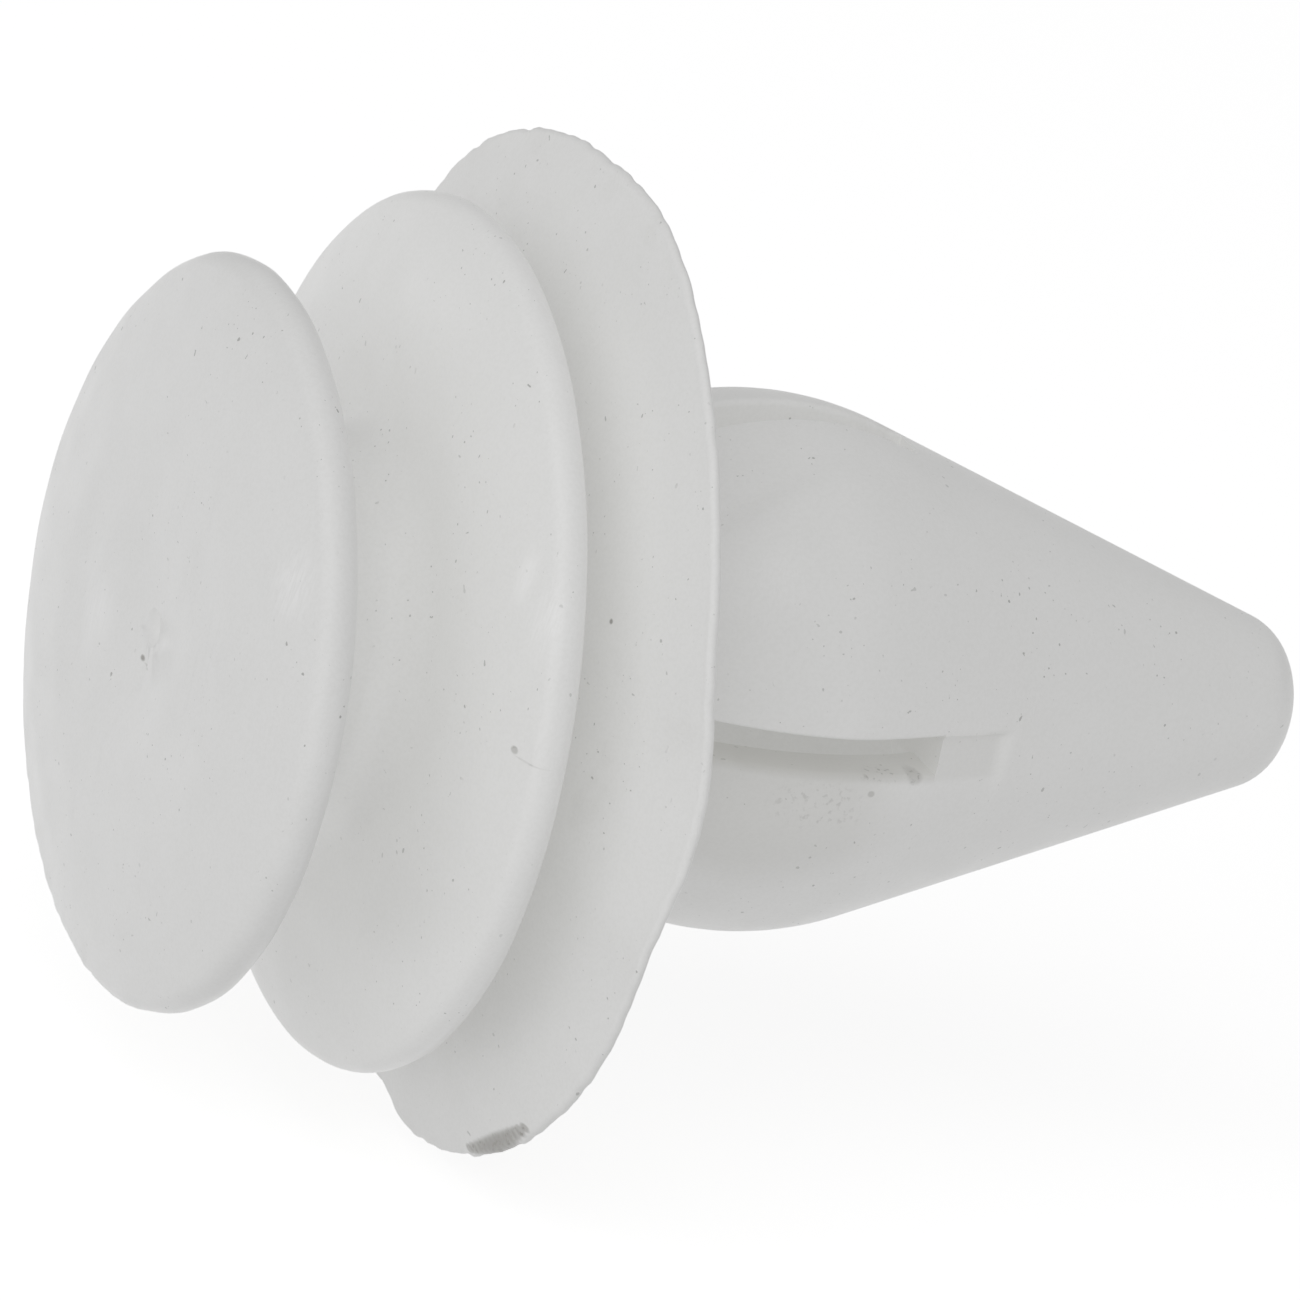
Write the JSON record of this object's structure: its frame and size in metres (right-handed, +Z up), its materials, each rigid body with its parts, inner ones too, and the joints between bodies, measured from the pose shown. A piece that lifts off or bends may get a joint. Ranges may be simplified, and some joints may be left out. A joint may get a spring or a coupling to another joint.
{
  "type": "push-in trim clip",
  "caption": "Push-in panel clip: flat round head, neck, retaining flange, umbrella sealing skirt and a slotted conical shank with sprung legs.",
  "frame": {"origin": "on the clip's axis, in the plane of the skirt's rim, where the face of the panel lies", "axes": "+Y along the clip's axis towards its nose, into the panel; +Z up; the two slots lie in the XY and YZ planes"},
  "size_m": [0.02, 0.0244, 0.02],
  "materials": {
    "natural_nylon": "satin, slightly translucent moulded nylon"
  },
  "bodies": {
    "core": {"head_disc": "natural_nylon", "neck_post": "natural_nylon", "retaining_flange": "natural_nylon", "seat_collar": "natural_nylon", "skirt_root": "natural_nylon", "spine_web": "natural_nylon", "lower_rail": "natural_nylon", "upper_rail": "natural_nylon", "upper_leg_hinge": "natural_nylon", "lower_leg_hinge": "natural_nylon", "nose_cone": "natural_nylon"},
    "upper_spring_leg": {"upper_leg": "natural_nylon"},
    "lower_spring_leg": {"lower_leg": "natural_nylon"},
    "skirt_rim": {"skirt_lip": "natural_nylon"}
  },
  "joints": [
    {"name": "upper_leg_bend", "type": "hinge", "parent": "core", "child": "upper_spring_leg", "pos_m": [0.00309, 0.00725, 0.00309], "axis": [0.7071, 0, -0.7071], "range_deg": [0, 8.5], "stiffness_Nm_per_rad": 1.1, "deforming": ["upper_leg_hinge"]},
    {"name": "lower_leg_bend", "type": "hinge", "parent": "core", "child": "lower_spring_leg", "pos_m": [-0.00309, 0.00725, -0.00309], "axis": [-0.7071, 0, 0.7071], "range_deg": [0, 8.5], "stiffness_Nm_per_rad": 1.1, "deforming": ["lower_leg_hinge"]},
    {"name": "skirt_flex", "type": "slide", "parent": "core", "child": "skirt_rim", "axis": [0, -1, 0], "range_m": [0, 0.0005], "stiffness_N_per_m": 8000}
  ]
}
